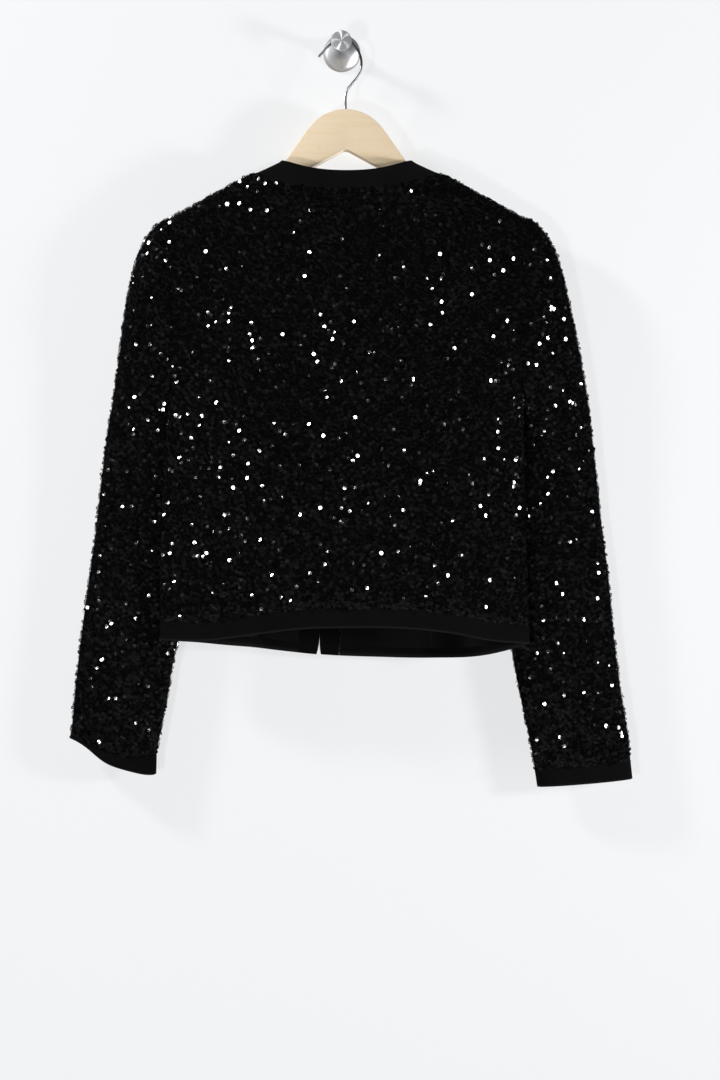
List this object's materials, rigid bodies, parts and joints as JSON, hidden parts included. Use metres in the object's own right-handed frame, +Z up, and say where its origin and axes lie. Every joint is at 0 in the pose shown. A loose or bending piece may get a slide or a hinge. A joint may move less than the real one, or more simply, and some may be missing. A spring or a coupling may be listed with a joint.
{
  "type": "sequin jacket on a hanger",
  "caption": "Cropped collarless long-sleeved sequin jacket with plain velvet bands, hanging flat on a wooden hanger from a round wall knob.",
  "frame": {"origin": "centre of the wall knob's flat foot, on the wall", "axes": "+Z up; +Y into the wall; the jacket hangs on the -Y side and shows its back to -Y; +X towards the wearer's right sleeve"},
  "size_m": [0.6306, 0.0722, 0.8475],
  "materials": {
    "sequin_cloth": "black velvet ground covered with small round black cup sequins",
    "velvet": "black cotton velvet, matt with a soft nap",
    "satin_lining": "black satin lining, soft sheen",
    "pale_wood": "pale varnished beech",
    "steel_wire": "bright nickel-plated drawn steel wire",
    "brushed_steel": "brushed stainless steel"
  },
  "bodies": {
    "root": {"back": "sequin_cloth", "back_neck_band": "velvet", "back_hem_band": "velvet", "back_lining": "satin_lining", "left_front": "sequin_cloth", "left_front_band": "velvet", "left_neck_band": "velvet", "left_hem_band": "velvet", "left_front_lining": "satin_lining", "left_back_sleeve": "sequin_cloth", "left_front_sleeve": "sequin_cloth", "left_cuff": "velvet", "right_front": "sequin_cloth", "right_front_band": "velvet", "right_neck_band": "velvet", "right_hem_band": "velvet", "right_front_lining": "satin_lining", "right_back_sleeve": "sequin_cloth", "right_front_sleeve": "sequin_cloth", "right_cuff": "velvet", "hanger_board": "pale_wood", "hanger_hook": "steel_wire", "wall_knob": "brushed_steel"}
  },
  "joints": []
}
